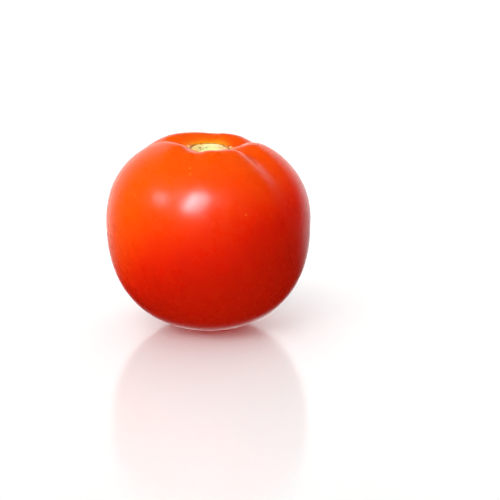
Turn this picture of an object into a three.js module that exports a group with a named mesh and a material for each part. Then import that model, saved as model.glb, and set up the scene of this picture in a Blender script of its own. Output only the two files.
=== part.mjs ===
// A whole ripe tomato, picked without its green calyx. It is one solid fruit: a rounded body with five
// uneven lobes, a dimple at the crown with the pale scar of the stem in it, and a small flat spot
// underneath that it rests on. Millimetres, +Z up, with the origin at the centre of the flat spot.
// Azimuths are in degrees around +Z from +X, and the fruit's front faces -Y.
import * as THREE from 'three';

// Overall sizes.
const BODY_RADIUS = 34; // at the widest level
const WIDEST_HEIGHT = 35.3; // the widest level above the flat spot
const DOME_HEIGHT = 29.7; // the dome above the widest level, before the dimple is pressed in
const REST_RADIUS = 7; // the flat spot underneath

// Roundness of the outline above and below the widest level: 2 is an ellipse, and more is squarer.
const UPPER_FULLNESS = 2.24;
const LOWER_FULLNESS = 2.29;

// The body is slightly oval seen from above, and its crown leans a little towards one side.
const OVALNESS = 0.0135; // share of the radius gained along the long way and lost across it
const OVAL_AZIMUTH = 114;
const CROWN_LEAN = 0.055; // fall of the crown, per millimetre out from the axis
const LEAN_AZIMUTH = 302;

// The dimple at the crown.
const DIMPLE_DEPTH = 6;
const DIMPLE_RADIUS = 12;
const DIMPLE_STEEPNESS = 3.3; // power of its fall-off: more gives a flatter floor and steeper walls

// The lobe at the front left stands closer to the scar, which narrows the dimple there.
const LOBE_PRESS = 1.1;
const PRESS_AZIMUTH = 216;
const PRESS_WIDTH = 28; // half-width, degrees

// The stem scar, a low corky button on the dimple's floor.
const SCAR_RADIUS = 6.4;
const SCAR_RISE = 0.5;
const SCAR_SQUARENESS = 6; // power of its dome: more gives a flatter top

// The creases between the lobes. Each is deepest on the shoulder and fades out down the side.
// azimuth and half-width in degrees, depth in millimetres, and end as a polar angle from the crown.
// steepness is how sharply the sides rise: 1.5 gives a valley with a keen bottom, and more a broader
// bottom between steeper sides.
const CREASES = [
  { azimuth: 28, halfWidth: 16, depth: 3.2, end: 108, steepness: 1.5 },
  { azimuth: 85, halfWidth: 14, depth: 0.6, end: 72, steepness: 1.5 },
  { azimuth: 167, halfWidth: 16, depth: 2.8, end: 108, steepness: 1.5 },
  { azimuth: 253, halfWidth: 15, depth: 1.8, end: 66, steepness: 3 },
  { azimuth: 283, halfWidth: 26, depth: 0.6, end: 80, steepness: 1.5 },
  { azimuth: 322, halfWidth: 11, depth: 2.6, end: 112, steepness: 2 },
];
const CREASE_RUN_IN = 6; // distance over which a crease deepens from the scar's edge

// Fineness of the mesh. SEGMENTS is three times a power of two, for the flat spot's triangles.
const SEGMENTS = 96;
const RINGS = 32;
const RING_BIAS = 1.5; // more gathers the rings towards the crown

/** The signed turn from one azimuth to another, in radians between -PI and PI. */
function turnBetween(from, to) {
  return Math.atan2(Math.sin(to - from), Math.cos(to - from));
}

/** 1 at an azimuth and less beside it. The azimuth is in radians, the middle and half-width in degrees. */
function bell(azimuth, middle, halfWidth, steepness) {
  const turn = Math.abs(turnBetween(THREE.MathUtils.degToRad(middle), azimuth));
  return Math.exp(-((turn / THREE.MathUtils.degToRad(halfWidth)) ** steepness));
}

/** How deep the creases are at a place on the skin. */
function creaseDepth(azimuth, polar, radius) {
  let total = 0;
  for (const crease of CREASES) {
    const across = bell(azimuth, crease.azimuth, crease.halfWidth, crease.steepness);
    const fade = 1 - THREE.MathUtils.smoothstep(polar, 0, THREE.MathUtils.degToRad(crease.end));
    total += crease.depth * across * fade;
  }
  return total * THREE.MathUtils.smoothstep(radius, SCAR_RADIUS, SCAR_RADIUS + CREASE_RUN_IN);
}

/** The dimple and the scar's button: how far the crown lies below the plain dome. */
function crownDrop(azimuth, radius) {
  const reach = DIMPLE_RADIUS - LOBE_PRESS * bell(azimuth, PRESS_AZIMUTH, PRESS_WIDTH, 2);
  const dimple = DIMPLE_DEPTH * Math.exp(-((radius / reach) ** DIMPLE_STEEPNESS));
  const button = Math.max(0, 1 - (radius / SCAR_RADIUS) ** SCAR_SQUARENESS);
  return dimple - SCAR_RISE * button;
}

/** The polar angle at which the underside reaches the flat spot. */
function restPolar() {
  return Math.PI - Math.asin((REST_RADIUS / BODY_RADIUS) ** (LOWER_FULLNESS / 2));
}

/** Radius and height of the plain outline, a squared-off ellipse, at a polar angle from the crown. */
function outline(polar) {
  const rise = Math.cos(polar);
  const power = 2 / (rise > 0 ? UPPER_FULLNESS : LOWER_FULLNESS);
  const radius = BODY_RADIUS * Math.sin(polar) ** power;
  if (rise > 0) {
    return { radius, height: WIDEST_HEIGHT + DOME_HEIGHT * rise ** power };
  }
  const lowest = Math.cos(restPolar());
  return { radius, height: WIDEST_HEIGHT * (1 - (rise / lowest) ** power) };
}

/** A point of the skin. */
function skinPoint(azimuth, polar) {
  const { radius, height } = outline(polar);
  const upward = Math.cos(polar);
  const crease = creaseDepth(azimuth, polar, radius);
  const oval = 1 + OVALNESS * Math.cos(2 * (azimuth - THREE.MathUtils.degToRad(OVAL_AZIMUTH)));
  const leaning = Math.cos(azimuth - THREE.MathUtils.degToRad(LEAN_AZIMUTH));
  const reach = (radius - crease * Math.sin(polar)) * oval;
  let level = height - crease * upward;
  if (upward > 0) {
    level -= crownDrop(azimuth, radius) + CROWN_LEAN * upward * radius * leaning;
  }
  return new THREE.Vector3(reach * Math.cos(azimuth), reach * Math.sin(azimuth), level);
}

/** The closed skin: the crown's point, rings of points down to the flat spot, and the flat spot. */
function tomatoGeometry() {
  const points = [skinPoint(0, 0)];
  for (let ring = 1; ring <= RINGS; ring += 1) {
    const polar = restPolar() * (ring / RINGS) ** RING_BIAS;
    for (let segment = 0; segment < SEGMENTS; segment += 1) {
      points.push(skinPoint((segment / SEGMENTS) * 2 * Math.PI, polar));
    }
  }
  const at = (ring, segment) => 1 + (ring - 1) * SEGMENTS + (segment % SEGMENTS);

  const triangles = [];
  for (let segment = 0; segment < SEGMENTS; segment += 1) {
    triangles.push(0, at(1, segment), at(1, segment + 1));
    for (let ring = 1; ring < RINGS; ring += 1) {
      const upper = [at(ring, segment), at(ring, segment + 1)];
      const lower = [at(ring + 1, segment), at(ring + 1, segment + 1)];
      triangles.push(upper[0], lower[0], lower[1]);
      triangles.push(upper[0], lower[1], upper[1]);
    }
  }
  triangles.push(...flatSpotTriangles((segment) => at(RINGS, segment)));

  const geometry = new THREE.BufferGeometry().setFromPoints(points);
  geometry.setIndex(triangles);
  geometry.computeVertexNormals();
  return geometry;
}

/** Triangles facing down over the last ring: corners are cut off until one triangle is left. */
function flatSpotTriangles(rim) {
  const triangles = [];
  let step = 1;
  while (3 * step < SEGMENTS) {
    for (let segment = 0; segment < SEGMENTS; segment += 2 * step) {
      triangles.push(rim(segment), rim(segment + 2 * step), rim(segment + step));
    }
    step *= 2;
  }
  triangles.push(rim(0), rim(2 * step), rim(step));
  return triangles;
}

const tomato = new THREE.Mesh(
  tomatoGeometry(),
  new THREE.MeshStandardMaterial({ color: 0xd9280c, roughness: 0.3, metalness: 0 }),
);
tomato.name = 'tomato';

const part = new THREE.Group();
part.add(tomato);

export default part;
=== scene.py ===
"""A whole ripe tomato without its calyx, on a plain white studio floor.

The CAD model gives the frame: where the fruit stands and how big it is. Here the fruit gets its fine
skin, with the lobes, the stem scar, the blossom scar and a procedural material.
Form sizes are in the design's millimetres, which `mm` turns into the frame's metres. Azimuths are
around +Z from +X, and the fruit's front faces -Y.
"""

import math

import bpy
import numpy as np
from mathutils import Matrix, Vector, noise


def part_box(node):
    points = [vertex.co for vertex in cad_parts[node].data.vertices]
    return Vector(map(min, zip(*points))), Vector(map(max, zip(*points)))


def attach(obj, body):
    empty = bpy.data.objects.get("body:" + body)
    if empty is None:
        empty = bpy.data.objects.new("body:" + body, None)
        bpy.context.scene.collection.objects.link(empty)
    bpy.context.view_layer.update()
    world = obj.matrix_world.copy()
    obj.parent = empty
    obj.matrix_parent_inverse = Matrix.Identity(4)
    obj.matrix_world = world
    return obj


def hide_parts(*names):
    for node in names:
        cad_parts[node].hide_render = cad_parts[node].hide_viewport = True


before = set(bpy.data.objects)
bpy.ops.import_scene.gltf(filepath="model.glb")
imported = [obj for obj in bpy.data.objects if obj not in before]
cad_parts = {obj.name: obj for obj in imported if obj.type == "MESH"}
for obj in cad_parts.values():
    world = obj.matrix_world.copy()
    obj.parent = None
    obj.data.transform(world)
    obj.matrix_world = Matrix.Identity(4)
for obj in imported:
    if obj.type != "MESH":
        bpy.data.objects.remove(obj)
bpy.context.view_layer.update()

LOW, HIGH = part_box("tomato")

# ---------------------------------------------------------------- driving dimensions

FORM_HEIGHT = 62.73  # from the flat spot to the top of the highest lobe
mm = (HIGH.z - LOW.z) / FORM_HEIGHT

# the body, as in the design
BODY_RADIUS = 34.0  # at the widest level
WIDEST_HEIGHT = 35.3  # the widest level above the flat spot
DOME_HEIGHT = 29.7  # the dome above the widest level, before the dimple is pressed in
REST_RADIUS = 7.0  # the flat spot underneath
UPPER_FULLNESS = 2.24  # roundness of the outline above the widest level: 2 is an ellipse, more is squarer
LOWER_FULLNESS = 2.29  # and below it
OVALNESS, OVAL_AZIMUTH = 0.0135, 114.0  # share of the radius gained along the long way
CROWN_LEAN, LEAN_AZIMUTH = 0.055, 302.0  # fall of the crown, per millimetre out from the axis
DIMPLE_DEPTH, DIMPLE_RADIUS, DIMPLE_STEEPNESS = 6.0, 12.0, 3.3
LOBE_PRESS, PRESS_AZIMUTH, PRESS_WIDTH = 1.1, 216.0, 28.0  # one lobe stands closer to the scar

# azimuth, half-width, depth, the polar angle at which the crease has faded out, and how sharply
# its sides rise: 1.5 gives a valley with a keen bottom, and more a broader bottom between steeper sides
CREASES = (
    (28, 16, 3.2, 108, 1.5),
    (85, 14, 0.6, 72, 1.5),
    (167, 16, 2.8, 108, 1.5),
    (253, 15, 1.8, 66, 3.0),
    (283, 26, 0.6, 80, 1.5),
    (322, 11, 2.6, 112, 2.0),
)
CREASE_RUN_IN = 6.0  # distance over which a crease deepens from the scar's edge

# the skin's faint unevenness: height, size, and where its noise starts
SWELLS = ((0.16, 17, 3.0), (0.05, 6, 11.0))

# the stem scar, a low corky button on the dimple's floor
SCAR_RADIUS = 6.4
SCAR_RISE = 0.5
BUTTON_SLOPE = 0.9  # distance over which the button rises from its edge
GRAIN_RISE, GRAIN_SIZE, GRAIN_START = 0.06, 0.45, 5.0  # the cork's roughness
EDGE_WAVES = ((0.08, 1, 0.0), (-0.05, 2, 0.0), (0.025, 5, 0.8), (0.012, 13, 2.1))  # share, waves, phase

# Rings around the scar. Each offset is a distance outside the scar's edge, and each width a half-width.
EDGE_BLUR = 0.12  # the cork's colour ends within this distance of the edge
COLLAR_RISE, COLLAR_OFFSET, COLLAR_WIDTH = 0.16, -0.45, 0.3
COLLAR_BEADS, BEADING = 17, 0.4  # its uneven height: waves around, and their share of it
GROOVE_DEPTH, GROOVE_OFFSET, GROOVE_WIDTH = 0.34, 0.40, 0.38
PUCKER_RISE, PUCKER_OFFSET, PUCKER_WIDTH = 0.03, 1.4, 1.5
PUCKER_FOLDS, PUCKER_GROUPS = 31, 12  # fine folds, stronger and weaker in turn around the scar
HALO_REACH, HALO_POWER = 2.6, 1.8
HALO_OVERLAP = 0.5  # it starts this far inside the edge
HALO_FRONT = 0.45  # its strength at the front, as a share of that at the rear

# At the rear the groove lies further out, clear of the button that would hide it. It is faint in one
# place.
REAR_AZIMUTH, REAR_WIDTH, REAR_SHIFT = 88, 38, 0.50
FAINT_AZIMUTH, FAINT_WIDTH, FAINTNESS = 66, 12, 0.6

# The vessels that broke off with the stem left pits in the scar: x, y and half-width of each.
PITS = (
    (-2.6, 0.8, 0.46),
    (-0.5, 1.0, 0.34),
    (-1.4, -1.5, 0.24),
    (-2.1, -2.7, 0.32),
    (0.8, -4.4, 0.24),
    (3.3, -2.9, 0.22),
    (3.9, 1.4, 0.16),
    (-4.6, -1.6, 0.18),
)
PIT_LENGTH = 2.0  # how many times its width a pit is long
PIT_DEPTH = 0.4
PIT_BOTTOM, PIT_RIM = 0.8, 1.4  # where its sides begin and end, in half-widths

# Where sepals were joined, small dry flakes stand just outside the scar.
SEPAL_AZIMUTHS = (12, 163, 235, 307)
FLAKE_RISE, FLAKE_OFFSET, FLAKE_WIDTH, FLAKE_LENGTH = 0.4, 1.25, 0.85, 0.6

# the blossom scar, a tiny hollow in the flat spot with fine creases running out from it
BLOSSOM_RADIUS = 1.3
BLOSSOM_DEPTH = 0.35
BLOSSOM_BOTTOM, BLOSSOM_RIM = 0.5, 1.3  # where its sides begin and end, in radii
RAYS, RAY_DEPTH, RAY_REACH = 9, 0.04, 3.2

# Little yellow flecks in the skin: azimuth and polar angle, half-width and half-length.
FLECKS = (
    (257.9, 42.6, 0.30, 0.85),
    (259.3, 47.4, 0.28, 0.95),
    (224.5, 67.2, 0.26, 0.26),
    (292.0, 75.2, 0.24, 0.24),
    (338.0, 62.0, 0.24, 0.30),
    (22.0, 57.0, 0.26, 0.45),
    (74.0, 71.0, 0.26, 0.30),
    (118.0, 49.0, 0.28, 0.50),
    (158.0, 78.0, 0.24, 0.24),
)
FLECK_CORE, FLECK_RIM = 0.5, 1.6  # where a fleck starts to fade and where it ends, in half-widths
FLECK_STRENGTH = 0.8

# Fineness of the skin's mesh. The rings lie closest on the scar and close on the dimple's walls.
SEGMENTS = 440
SCAR_ZONE, SCAR_RINGS = 1.5 * SCAR_RADIUS, 60
DIMPLE_ZONE, DIMPLE_RINGS = 3.3 * SCAR_RADIUS, 37
SIDE_RINGS = 90
# the radii of the flat spot's rings, as shares of its rim's
REST_SHARES = np.concatenate([np.linspace(0.92, 0.3, 9), np.linspace(0.27, 0.02, 14)])
REST_FADE = 0.35  # radians over which the unevenness fades out before the flat spot


def smooth(value, start, end):
    """0 before start, 1 after end, and an even S-curve between."""
    share = np.clip((value - start) / (end - start), 0, 1)
    return share * share * (3 - 2 * share)


def ripple(azimuth, waves, phase=0.0):
    """An even wave between -1 and 1 around the axis."""
    return np.cos(waves * azimuth + phase)


def turn_to(azimuth, degrees):
    """The turn between azimuths and a direction in degrees, in radians without a sign."""
    turn = azimuth - math.radians(degrees)
    return np.abs(np.arctan2(np.sin(turn), np.cos(turn)))


def bell(azimuth, middle, half_width, steepness=2):
    """1 at an azimuth and less beside it. Azimuths are in radians, the middle and half-width in degrees."""
    return np.exp(-(turn_to(azimuth, middle) / math.radians(half_width)) ** steepness)


def band(distance, middle, half_width):
    """1 at a distance and less on both sides of it."""
    return np.exp(-((distance - middle) / half_width) ** 2)


# ---------------------------------------------------------------- the form

REST_POLAR = math.pi - math.asin((REST_RADIUS / BODY_RADIUS) ** (LOWER_FULLNESS / 2))


def polar_at(radius):
    """The polar angle at which the dome's outline has a radius."""
    return np.arcsin((radius / BODY_RADIUS) ** (UPPER_FULLNESS / 2))


def crease_depth(azimuth, polar, radius):
    """How deep the creases are at a place on the skin."""
    total = 0
    for direction, half_width, depth, end, steepness in CREASES:
        across = bell(azimuth, direction, half_width, steepness)
        total = total + depth * across * (1 - smooth(polar, 0, math.radians(end)))
    return total * smooth(radius, SCAR_RADIUS, SCAR_RADIUS + CREASE_RUN_IN)


def skin_form(azimuth, polar):
    """Points of the smooth form, in design millimetres, with the outline's radius at each."""
    rise = np.cos(polar)
    upper = rise > 0
    power = np.where(upper, 2 / UPPER_FULLNESS, 2 / LOWER_FULLNESS)
    radius = BODY_RADIUS * np.sin(polar) ** power
    lowest = abs(math.cos(REST_POLAR))
    height = np.where(
        upper,
        WIDEST_HEIGHT + DOME_HEIGHT * np.abs(rise) ** power,
        WIDEST_HEIGHT * (1 - (np.abs(rise) / lowest) ** power),
    )
    crease = crease_depth(azimuth, polar, radius)
    oval = 1 + OVALNESS * np.cos(2 * (azimuth - math.radians(OVAL_AZIMUTH)))
    reach = (radius - crease * np.sin(polar)) * oval
    press = LOBE_PRESS * bell(azimuth, PRESS_AZIMUTH, PRESS_WIDTH)
    dimple = DIMPLE_DEPTH * np.exp(-(radius / (DIMPLE_RADIUS - press)) ** DIMPLE_STEEPNESS)
    lean = CROWN_LEAN * rise * radius * np.cos(azimuth - math.radians(LEAN_AZIMUTH))
    height = height - crease * rise - np.where(upper, dimple + lean, 0)
    return np.stack([reach * np.cos(azimuth), reach * np.sin(azimuth), height], -1), radius


def scar_edge(azimuth):
    """The scar's uneven outline: its distance from the axis."""
    wobble = sum(share * ripple(azimuth, waves, phase) for share, waves, phase in EDGE_WAVES)
    return SCAR_RADIUS * (1 + wobble)


def pit_mask(azimuth, radius):
    """1 in the scar's pits."""
    x, y = radius * np.cos(azimuth), radius * np.sin(azimuth)
    pits = np.zeros_like(radius)
    for across, along, size in PITS:
        away = np.hypot(x - across, (y - along) / PIT_LENGTH)
        pits = np.maximum(pits, 1 - smooth(away, size * PIT_BOTTOM, size * PIT_RIM))
    return pits


def flake_mask(azimuth, radius, beyond):
    """1 at the middle of each dry flake."""
    flakes = np.zeros_like(radius)
    for direction in SEPAL_AZIMUTHS:
        aside = turn_to(azimuth, direction) * radius
        flake = band(aside, 0, FLAKE_WIDTH) * band(beyond, FLAKE_OFFSET, FLAKE_LENGTH)
        flakes = np.maximum(flakes, flake)
    return flakes


def scar_masks(azimuth, radius):
    """Where the scar, its dark edge line, its pits, the sepals' flakes and the golden halo are."""
    beyond = radius - scar_edge(azimuth)
    rear = bell(azimuth, REAR_AZIMUTH, REAR_WIDTH)
    faint = bell(azimuth, FAINT_AZIMUTH, FAINT_WIDTH)
    halo = np.exp(-(np.clip(beyond, 0, None) / HALO_REACH) ** HALO_POWER) * (beyond > -HALO_OVERLAP)
    return {
        "scar": 1 - smooth(beyond, -EDGE_BLUR, EDGE_BLUR),
        "line": band(beyond, GROOVE_OFFSET + REAR_SHIFT * rear, GROOVE_WIDTH) * (1 - FAINTNESS * faint),
        "pits": pit_mask(azimuth, radius),
        "flakes": flake_mask(azimuth, radius, beyond),
        "halo": halo * (HALO_FRONT + (1 - HALO_FRONT) * rear),
    }


def noise_at(points, size, offset):
    """Smooth noise between -1 and 1 at points, with features of about a size in millimetres."""
    shift = Vector((offset, offset * 0.7, offset * 1.3))
    values = [noise.noise(Vector(point) / size + shift) for point in points.reshape(-1, 3)]
    return np.array(values).reshape(points.shape[:-1])


def relief(points, azimuth, radius, masks, upper):
    """How far the real skin stands out from the smooth form, in design millimetres."""
    beyond = radius - scar_edge(azimuth)
    swell = sum(height * noise_at(points, size, offset) for height, size, offset in SWELLS)
    swell = swell * smooth(radius, SCAR_RADIUS, 2 * SCAR_RADIUS)
    button = SCAR_RISE * smooth(-beyond, 0, BUTTON_SLOPE)
    beads = 1 - BEADING + BEADING * ripple(azimuth, COLLAR_BEADS, 1.0)
    collar = COLLAR_RISE * band(beyond, COLLAR_OFFSET, COLLAR_WIDTH) * beads
    groove = -GROOVE_DEPTH * masks["line"]
    folds = ripple(azimuth, PUCKER_FOLDS, 0.4) * ripple(azimuth, PUCKER_GROUPS)
    pucker = PUCKER_RISE * folds * band(beyond, PUCKER_OFFSET, PUCKER_WIDTH)
    grain = GRAIN_RISE * noise_at(points, GRAIN_SIZE, GRAIN_START) * masks["scar"]
    marks = FLAKE_RISE * masks["flakes"] - PIT_DEPTH * masks["pits"]
    return swell + np.where(upper, button + collar + groove + pucker + grain + marks, 0)


def ring_polars():
    """Polar angles of the rings from crown to flat spot, close together around the scar."""
    return np.concatenate([
        polar_at(np.linspace(0, SCAR_ZONE, SCAR_RINGS + 1)[1:]),
        polar_at(np.linspace(SCAR_ZONE, DIMPLE_ZONE, DIMPLE_RINGS + 1)[1:]),
        np.linspace(polar_at(DIMPLE_ZONE), REST_POLAR, SIDE_RINGS + 1)[1:],
    ])


def blossom_relief(azimuth, radius):
    """How deep the blossom scar and the fine creases around it are."""
    bottom, rim = BLOSSOM_BOTTOM * BLOSSOM_RADIUS, BLOSSOM_RIM * BLOSSOM_RADIUS
    hollow = BLOSSOM_DEPTH * (1 - smooth(radius, bottom, rim))
    rays = RAY_DEPTH * (1 + ripple(azimuth, RAYS, 0.5)) * np.exp(-(radius / RAY_REACH) ** 2)
    return hollow + rays


def surface_normals(points):
    """Outward directions on a grid of points, from each point's neighbours."""
    around = np.roll(points, -1, 1) - np.roll(points, 1, 1)
    down = np.gradient(points, axis=0)
    normals = np.cross(down, around)
    return normals / np.linalg.norm(normals, axis=-1, keepdims=True)


def flat_spot(rim, azimuths):
    """The flat spot's rings, inwards from its rim, and their radii. They are finest on the blossom scar."""
    radius = np.hypot(rim[:, 0], rim[:, 1])[None] * REST_SHARES[:, None]
    rings = rim[None] * REST_SHARES[:, None, None]
    rings[..., 2] = blossom_relief(azimuths[None], radius)
    return rings, radius


def skin_grid(azimuths, polars):
    """The fruit's points ring by ring, from crown to blossom scar, and the values painted on them."""
    azimuth, polar = np.meshgrid(azimuths, polars)
    points, radius = skin_form(azimuth, polar)
    upper = np.cos(polar) > 0
    masks = {name: np.where(upper, values, 0) for name, values in scar_masks(azimuth, radius).items()}
    fade = 1 - smooth(polar, REST_POLAR - REST_FADE, REST_POLAR)
    out = relief(points, azimuth, radius, masks, upper) * fade
    points = points + surface_normals(points) * out[..., None]

    flat, flat_radius = flat_spot(points[-1], azimuths)
    for name in masks:
        masks[name] = np.concatenate([masks[name], np.zeros_like(flat_radius)])
    masks["blossom"] = np.concatenate([np.zeros_like(radius), band(flat_radius, 0, BLOSSOM_RADIUS)])
    return np.concatenate([points, flat]), masks


# ---------------------------------------------------------------- the mesh


def skin_faces(rings):
    """The skin's faces, and the place of each of their corners on the flat chart for baking.

    Point 0 is the crown, then come the rings, and the last point is the flat spot's middle.
    """
    last = 1 + rings * SEGMENTS

    def at(ring, segment):
        return 1 + ring * SEGMENTS + segment % SEGMENTS

    def level(ring):
        return 1 - (ring + 1) / (rings + 1)

    faces, places = [], []
    for segment in range(SEGMENTS):
        left, right = segment / SEGMENTS, (segment + 1) / SEGMENTS
        between = (left + right) / 2
        faces.append((0, at(0, segment), at(0, segment + 1)))
        places += [(between, 1.0), (left, level(0)), (right, level(0))]
        for ring in range(rings - 1):
            upper = at(ring, segment), at(ring, segment + 1)
            lower = at(ring + 1, segment), at(ring + 1, segment + 1)
            faces.append((upper[0], lower[0], lower[1], upper[1]))
            high, low = level(ring), level(ring + 1)
            places += [(left, high), (left, low), (right, low), (right, high)]
        faces.append((last, at(rings - 1, segment + 1), at(rings - 1, segment)))
        places += [(between, 0.0), (right, level(rings - 1)), (left, level(rings - 1))]
    return faces, places


def paint(mesh, name, values):
    """Store a value at each of the mesh's points. The two end points take the mean of their rings."""
    painted = np.concatenate([[values[0].mean()], values.ravel(), [values[-1].mean()]])
    mesh.attributes.new(name, "FLOAT", "POINT").data.foreach_set("value", painted.astype(np.float32))


def tomato_piece():
    """The fruit's skin as a mesh object."""
    azimuths = np.arange(SEGMENTS) * 2 * math.pi / SEGMENTS
    points, masks = skin_grid(azimuths, ring_polars())
    crown, tip = points[0].mean(0), points[-1].mean(0)
    vertices = np.concatenate([crown[None], points.reshape(-1, 3), tip[None]]) * mm
    vertices[:, 2] += LOW.z
    faces, places = skin_faces(len(points))

    mesh = bpy.data.meshes.new("tomato_skin")
    mesh.from_pydata(vertices.tolist(), [], faces)
    mesh.polygons.foreach_set("use_smooth", [True] * len(faces))
    chart = mesh.uv_layers.new(name="OFBake")
    chart.data.foreach_set("uv", np.array(places, np.float32).ravel())
    for name, values in masks.items():
        paint(mesh, name, values)
    mesh.update()
    piece = bpy.data.objects.new("tomato_skin", mesh)
    bpy.context.scene.collection.objects.link(piece)
    return piece


# ---------------------------------------------------------------- materials


class Nodes:
    """Short calls for building a tree of shader nodes."""

    def __init__(self, tree, space="Object"):
        self.tree = tree
        self.coordinates = tree.nodes.new("ShaderNodeTexCoord").outputs[space]

    def new(self, kind, **inputs):
        """A node with some of its inputs set or linked."""
        node = self.tree.nodes.new(kind)
        for name, value in inputs.items():
            self.put(node.inputs[name], value)
        return node

    def put(self, socket, value):
        """Link a socket to a node's output, or set it to a plain value."""
        if isinstance(value, bpy.types.NodeSocket):
            self.tree.links.new(value, socket)
        else:
            socket.default_value = value

    def attribute(self, name):
        """A value painted on the mesh's points."""
        node = self.tree.nodes.new("ShaderNodeAttribute")
        node.attribute_name = name
        return node.outputs["Fac"]

    def noise(self, size_mm, detail=3.0, roughness=0.5, vector=None):
        """Noise with features of about a size in millimetres."""
        node = self.new("ShaderNodeTexNoise", Scale=1 / (size_mm * mm), Detail=detail, Roughness=roughness)
        self.put(node.inputs["Vector"], vector or self.coordinates)
        return node.outputs["Fac"]

    def drift(self, size_mm, detail, height_mm):
        """Noise around 0, whose whole height is about a number of millimetres."""
        centred = self.math("SUBTRACT", self.noise(size_mm, detail), 0.5)
        return self.math("MULTIPLY", centred, height_mm * mm)

    def math(self, operation, a, b=0.0):
        """The outcome of a math node on one or two numbers."""
        node = self.tree.nodes.new("ShaderNodeMath")
        node.operation = operation
        self.put(node.inputs[0], a)
        self.put(node.inputs[1], b)
        return node.outputs[0]

    def span(self, value, low, high, to_low=0.0, to_high=1.0):
        """value mapped from low..high to another span, and held within it."""
        node = self.tree.nodes.new("ShaderNodeMapRange")
        node.interpolation_type = "SMOOTHSTEP"
        for socket, number in zip(node.inputs, (value, low, high, to_low, to_high)):
            self.put(socket, number)
        return node.outputs["Result"]

    def mix(self, factor, a, b, kind="RGBA"):
        """Between two colours, or with kind FLOAT between two numbers."""
        node = self.tree.nodes.new("ShaderNodeMix")
        node.data_type = kind
        for name, value in (("Factor", factor), ("A", a), ("B", b)):
            self.put(node.inputs[name], value)
        return node.outputs["Result"]


def colour(red, green, blue):
    return (red, green, blue, 1.0)


# colours of the skin
ORANGE = colour(0.88, 0.088, 0.0015)
RED = colour(0.80, 0.011, 0.001)
# deep red low on the fruit: partly its own colour, partly painted shade
DEEP_RED_AND_PAINTED_SHADE = colour(0.50, 0.0075, 0.001)
STREAK = colour(0.84, 0.070, 0.002)
FLECK = colour(0.90, 0.26, 0.02)
HALO = colour(0.97, 0.50, 0.015)

# colours of the dry places
CORK_LEFT = colour(0.86, 0.62, 0.22)
CORK_MIDDLE = colour(0.92, 0.84, 0.42)
CORK_RIGHT = colour(0.90, 0.58, 0.27)
CORK_GREEN = colour(0.80, 0.86, 0.32)
CORK_FIBRE = colour(0.50, 0.34, 0.10)
GROOVE = colour(0.15, 0.085, 0.008)
FLAKE = colour(0.95, 0.76, 0.30)
PIT = colour(0.03, 0.02, 0.004)
BLOSSOM = colour(0.16, 0.07, 0.02)

FLOOR_DARK, FLOOR_PALE = colour(0.945, 0.945, 0.94), colour(0.955, 0.955, 0.95)
FLOOR_ROUGHNESS = (0.12, 0.14)

# how much of the light is mirrored, and how roughly: where the skin is waxy, and where it is dry
GLOSS = 0.13
WAXY_ROUGHNESS, DRY_ROUGHNESS = (0.25, 0.32), 0.78

# sizes in millimetres
PORE_SIZE, PORE_DEPTH = 0.30, 0.02
CORK_SIZE, CORK_DEPTH = 0.25, 0.12
FIBRE_SIZE = 0.35
STREAK_SIZE, STREAK_STRENGTH = 1.6, 0.08
STREAK_SQUEEZE = 0.22  # a streak's width as a share of its height
SPECK_SPACING, SPECK_STRENGTH = 3.4, 0.3

# The colour goes by height, in millimetres. The orange shoulders and the red lower down are partly the
# fruit's own colour, and the deep red low on it is partly painted shade. A place on the left counts as
# higher and one on the right as lower, by a share of its distance from the axis, and at the far left by
# some more: painted light on the left and painted shade on the right.
PAINTED_LIGHT_LEAN = -0.38
FAR_LEFT, NEAR_LEFT, PAINTED_LIGHT_LEFT_GAIN = -36, -14, 14
ORANGE_FROM, ORANGE_TO = 28, 66
DEEP_RED_TO, RED_FROM = 16, 48


def ripe_colour_and_painted_light(nodes):
    """Orange at the shoulders and on the left, red at the waist and deep red below, with uneven borders:
    partly the fruit's own colour, partly painted light on the left and painted shade below and on the
    right.
    """
    place = nodes.new("ShaderNodeSeparateXYZ", Vector=nodes.coordinates)
    drift = nodes.drift(size_mm=22, detail=2, height_mm=12)
    # painted light and shade: the left is made more orange and the right deeper red
    aside = nodes.math("MULTIPLY", place.outputs["X"], PAINTED_LIGHT_LEAN)
    far = nodes.span(place.outputs["X"], FAR_LEFT * mm, NEAR_LEFT * mm, PAINTED_LIGHT_LEFT_GAIN * mm, 0)
    aside = nodes.math("ADD", aside, far)
    height = nodes.math("ADD", nodes.math("ADD", place.outputs["Z"], drift), aside)
    body = nodes.mix(nodes.span(height, ORANGE_FROM * mm, ORANGE_TO * mm), RED, ORANGE)
    return nodes.mix(nodes.span(height, DEEP_RED_TO * mm, RED_FROM * mm), DEEP_RED_AND_PAINTED_SHADE, body)


def fleck_mask(nodes, azimuth, polar, half_width, half_length):
    """A spot of the skin, round or longer up and down than across."""
    points, _ = skin_form(np.array([math.radians(azimuth)]), np.array([math.radians(polar)]))
    offset = nodes.new("ShaderNodeVectorMath", Vector=nodes.coordinates)
    offset.operation = "SUBTRACT"
    offset.inputs[1].default_value = Vector(points[0]) * mm
    squeezed = nodes.new("ShaderNodeMapping", Vector=offset.outputs["Vector"])
    squeezed.inputs["Scale"].default_value = (1 / half_width, 1 / half_width, 1 / half_length)
    length = nodes.new("ShaderNodeVectorMath", Vector=squeezed.outputs["Vector"])
    length.operation = "LENGTH"
    return nodes.span(length.outputs["Value"], FLECK_CORE * mm, FLECK_RIM * mm, FLECK_STRENGTH, 0)


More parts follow.
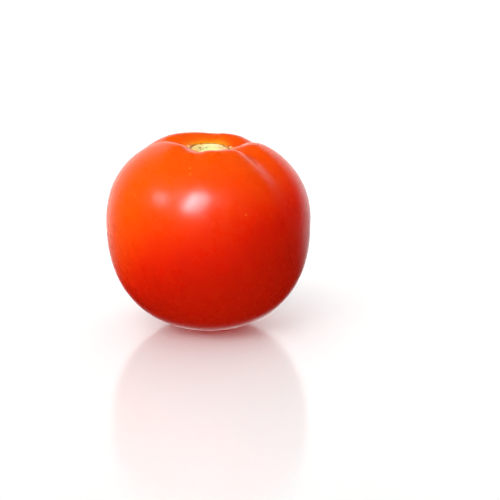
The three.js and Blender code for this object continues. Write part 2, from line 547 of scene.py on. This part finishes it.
def mottled(nodes, base):
    """Faint lengthwise mottling, scattered pale specks and the little yellow flecks."""
    stretch = nodes.new("ShaderNodeMapping", Vector=nodes.coordinates, Scale=(1.0, 1.0, STREAK_SQUEEZE))
    streaks = nodes.noise(STREAK_SIZE, detail=3, roughness=0.6, vector=stretch.outputs["Vector"])
    base = nodes.mix(nodes.span(streaks, 0.35, 0.85, 0, STREAK_STRENGTH), base, STREAK)
    cells = nodes.new("ShaderNodeTexVoronoi", Vector=nodes.coordinates, Scale=1 / (SPECK_SPACING * mm))
    speck = nodes.span(cells.outputs["Distance"], 0.04, 0.09, 1, 0)
    chance = nodes.new("ShaderNodeSeparateXYZ", Vector=cells.outputs["Color"])
    strength = nodes.span(chance.outputs["X"], 0.6, 0.8, 0, SPECK_STRENGTH)
    marks = nodes.math("MULTIPLY", speck, strength)
    for fleck in FLECKS:
        marks = nodes.math("MAXIMUM", marks, fleck_mask(nodes, *fleck))
    return nodes.mix(marks, base, FLECK)


def scar_colour(nodes):
    """Dry cork: cream in the middle, with a breath of green at its front, and tan on both sides."""
    place = nodes.new("ShaderNodeSeparateXYZ", Vector=nodes.coordinates)
    blotch = nodes.drift(size_mm=2.2, detail=4, height_mm=5)
    across = nodes.math("ADD", place.outputs["X"], blotch)
    along = nodes.math("ADD", place.outputs["Y"], blotch)
    base = nodes.mix(nodes.span(across, 2 * mm, 5 * mm), CORK_MIDDLE, CORK_RIGHT)
    base = nodes.mix(nodes.span(across, -3.5 * mm, 0), CORK_LEFT, base)
    past_left = nodes.span(across, -2 * mm, 0)
    before_right = nodes.span(across, 2 * mm, 4.5 * mm, 1, 0)
    in_front = nodes.span(along, 0, 2.5 * mm, 1, 0)
    green = nodes.math("MULTIPLY", nodes.math("MULTIPLY", past_left, before_right), in_front)
    base = nodes.mix(nodes.math("MULTIPLY", green, 0.9), base, CORK_GREEN)
    fibres = nodes.span(nodes.noise(FIBRE_SIZE, detail=4, roughness=0.7), 0.5, 0.72, 0, 0.30)
    return nodes.mix(fibres, base, CORK_FIBRE)


def skin_colour(nodes):
    """The ripe skin with its marks, its colour holding painted light and shade, and over it the halo, the
    scar and the dry places around it.
    """
    base = mottled(nodes, ripe_colour_and_painted_light(nodes))
    uneven = nodes.span(nodes.noise(3.5, detail=2), 0.3, 0.65, 0.6, 1.0)
    glow = nodes.math("MULTIPLY", nodes.attribute("halo"), uneven)
    base = nodes.mix(nodes.math("MULTIPLY", glow, 0.95), base, HALO)
    base = nodes.mix(nodes.attribute("scar"), base, scar_colour(nodes))
    base = nodes.mix(nodes.math("MULTIPLY", nodes.attribute("line"), 0.9), base, GROOVE)
    base = nodes.mix(nodes.attribute("flakes"), base, FLAKE)
    base = nodes.mix(nodes.attribute("pits"), base, PIT)
    return nodes.mix(nodes.attribute("blossom"), base, BLOSSOM)


def skin_bump(nodes, dry):
    """Fine pores everywhere, and rough cork where the skin is dry."""
    pores = nodes.noise(PORE_SIZE, detail=2)
    fine = nodes.new("ShaderNodeBump", Strength=0.25, Distance=PORE_DEPTH * mm, Height=pores)
    cork = nodes.math("MULTIPLY", nodes.noise(CORK_SIZE, detail=4, roughness=0.7), dry)
    coarse = nodes.new("ShaderNodeBump", Strength=0.6, Distance=CORK_DEPTH * mm, Height=cork)
    nodes.put(coarse.inputs["Normal"], fine.outputs["Normal"])
    return coarse.outputs["Normal"]


def skin_material():
    """Waxy ripe skin, with dry cork where the scars are."""
    material = bpy.data.materials.new("tomato_skin")
    material.use_nodes = True
    tree = material.node_tree
    shader = tree.nodes["Principled BSDF"]
    nodes = Nodes(tree)
    nodes.put(shader.inputs["Base Color"], skin_colour(nodes))

    dry = nodes.math("MAXIMUM", nodes.attribute("scar"), nodes.attribute("flakes"))
    dry = nodes.math("MAXIMUM", dry, nodes.attribute("blossom"))
    waxy = nodes.span(nodes.noise(5), 0.3, 0.7, *WAXY_ROUGHNESS)
    nodes.put(shader.inputs["Roughness"], nodes.mix(dry, waxy, DRY_ROUGHNESS, kind="FLOAT"))
    nodes.put(shader.inputs["Normal"], skin_bump(nodes, dry))

    shader.inputs["Specular IOR Level"].default_value = GLOSS
    shader.inputs["Subsurface Weight"].default_value = 0.1
    shader.inputs["Subsurface Radius"].default_value = (1.0, 0.2, 0.1)
    shader.inputs["Subsurface Scale"].default_value = 4 * mm
    return material


def floor_material():
    """A smooth pale floor with the faintest unevenness."""
    material = bpy.data.materials.new("studio_floor")
    material.use_nodes = True
    shader = material.node_tree.nodes["Principled BSDF"]
    nodes = Nodes(material.node_tree)
    tint = nodes.mix(nodes.noise(400, detail=2), FLOOR_DARK, FLOOR_PALE)
    nodes.put(shader.inputs["Base Color"], tint)
    roughness = nodes.span(nodes.noise(90, detail=2), 0.2, 0.8, *FLOOR_ROUGHNESS)
    nodes.put(shader.inputs["Roughness"], roughness)
    return material


# ---------------------------------------------------------------- stage, light and camera

# Name, the direction it is in, strength, apparent width in degrees, and whether it makes a highlight.
# The floor light stands in for what a white floor throws back up at the fruit, since the floor itself
# would do so with a good deal of noise.
LIGHTS = (
    ("sky_light", (0.0, -0.1, 1.0), 2.15, 150, False),
    ("key_light", (-0.24, -0.75, 0.61), 1.0, 40, False),
    ("left_light", (-0.85, -0.45, 0.25), 1.15, 60, False),
    ("floor_light", (0.12, -0.62, -0.78), 2.2, 150, False),
    ("key_shine_low", (-0.300, -0.780, 0.556), 5.4, 16, True),
    ("key_shine_high", (-0.165, -0.680, 0.730), 7.0, 16, True),
    ("side_shine", (-0.745, -0.370, 0.560), 1.6, 14, True),
)
SOFT_COLOUR = (1.0, 1.0, 1.0)
SHINE_COLOUR = (0.82, 0.86, 1.0)

# The backdrop that the fruit's rims mirror. Its borders are parts of a direction's X, Y and Z, from
# where it is dark to where it is bright.
BACKDROP = 1.4
BACKDROP_Y = (0.40, 0.85)
BACKDROP_FOOT, BACKDROP_TOP = (-0.42, -0.10), (0.84, 0.62)
# It sits lower straight behind the fruit: by the whole drop inside the first X, and not at all past the
# second.
MIDDLE_DROP, MIDDLE_X = 0.35, (0.12, 0.35)
ROOM = 0.01  # brightness of the rest of the room in the fruit's skin

WIDTH = HIGH.x - LOW.x
FLOOR_REACH = 120 * WIDTH
FLOOR_GAP = 0.05  # under the flat spot, in millimetres

LENS, SENSOR = 100.0, 36.0  # the camera's focal length and its sensor's width, in millimetres
PITCH = 13  # degrees that the camera looks down
AIM_HEIGHT = 32  # the fruit's middle, in millimetres above the floor
FRUIT_SHARE = 0.4064  # the fruit's width in the picture's width
AIM_LEFT, AIM_ABOVE = 0.083, 0.039  # of the picture's width, from its middle to the fruit's middle


def add_floor():
    """A floor that carries the fruit's shadow and reflection, but neither lights nor shows in the fruit."""
    reach = FLOOR_REACH
    mesh = bpy.data.meshes.new("studio_floor")
    corners = [(-reach, -reach, 0), (reach, -reach, 0), (reach, reach, 0), (-reach, reach, 0)]
    mesh.from_pydata(corners, [], [(0, 1, 2, 3)])
    floor = bpy.data.objects.new("studio_floor", mesh)
    floor.location.z = LOW.z - FLOOR_GAP * mm
    bpy.context.scene.collection.objects.link(floor)
    floor.data.materials.append(floor_material())
    floor.visible_glossy = False
    floor.visible_diffuse = False
    floor.visible_shadow = False


def add_sun(name, towards, strength, width, shines):
    """A far, round light. Some only light the fruit evenly, and some are only seen as its highlights."""
    light = bpy.data.lights.new(name, "SUN")
    light.energy = strength
    light.angle = math.radians(width)
    light.color = SHINE_COLOUR if shines else SOFT_COLOUR
    light.cycles.use_multiple_importance_sampling = shines
    sun = bpy.data.objects.new(name, light)
    sun.rotation_euler = Vector(towards).to_track_quat("Z", "Y").to_euler()
    sun.visible_glossy = shines
    sun.visible_diffuse = not shines
    bpy.context.scene.collection.objects.link(sun)


def add_world():
    """A white studio as the camera sees it. The rims mirror a bright backdrop, and the rest is dim."""
    world = bpy.data.worlds.new("studio")
    bpy.context.scene.world = world
    world.use_nodes = True
    tree = world.node_tree
    background = tree.nodes["Background"]
    background.inputs["Color"].default_value = colour(1.0, 1.0, 1.0)
    nodes = Nodes(tree, "Generated")
    place = nodes.new("ShaderNodeSeparateXYZ", Vector=nodes.coordinates)
    behind = nodes.span(place.outputs["Y"], *BACKDROP_Y, 0.0, BACKDROP)
    aside = nodes.math("ABSOLUTE", place.outputs["X"])
    drop = nodes.span(aside, *MIDDLE_X, MIDDLE_DROP, 0.0)
    height = nodes.math("ADD", place.outputs["Z"], drop)
    over_foot = nodes.span(height, *BACKDROP_FOOT)
    under_top = nodes.span(height, *reversed(BACKDROP_TOP), 1.0, 0.0)
    backdrop = nodes.math("MULTIPLY", behind, nodes.math("MULTIPLY", over_foot, under_top))
    seen = tree.nodes.new("ShaderNodeLightPath").outputs["Is Camera Ray"]
    mirrored = nodes.math("ADD", backdrop, ROOM)
    nodes.put(background.inputs["Strength"], nodes.mix(seen, mirrored, 1.0, kind="FLOAT"))


def add_camera():
    """Looks along +Y from a little above, with the fruit left of the picture's middle."""
    pitch = math.radians(PITCH)
    distance = WIDTH * LENS / (SENSOR * FRUIT_SHARE)
    picture = distance * SENSOR / LENS
    camera = bpy.data.cameras.new("camera")
    camera.lens, camera.sensor_width = LENS, SENSOR
    camera.clip_start, camera.clip_end = 0.01, 100.0
    viewer = bpy.data.objects.new("camera", camera)
    forward = Vector((0, math.cos(pitch), -math.sin(pitch)))
    up = Vector((0, math.sin(pitch), math.cos(pitch)))
    aim = Vector((0, 0, LOW.z + AIM_HEIGHT * mm))
    shift = Vector((AIM_LEFT * picture, 0, 0)) - up * AIM_ABOVE * picture
    viewer.location = aim - forward * distance + shift
    viewer.rotation_euler = (math.radians(90) - pitch, 0, 0)
    bpy.context.scene.collection.objects.link(viewer)
    bpy.context.scene.camera = viewer


def set_picture():
    """Colours as they are, with no film look."""
    view = bpy.context.scene.view_settings
    view.view_transform = "Standard"
    view.look = "None"


tomato = tomato_piece()
tomato.data.materials.append(skin_material())
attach(tomato, "root")
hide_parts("tomato")

add_floor()
add_world()
for light in LIGHTS:
    add_sun(*light)
add_camera()
set_picture()
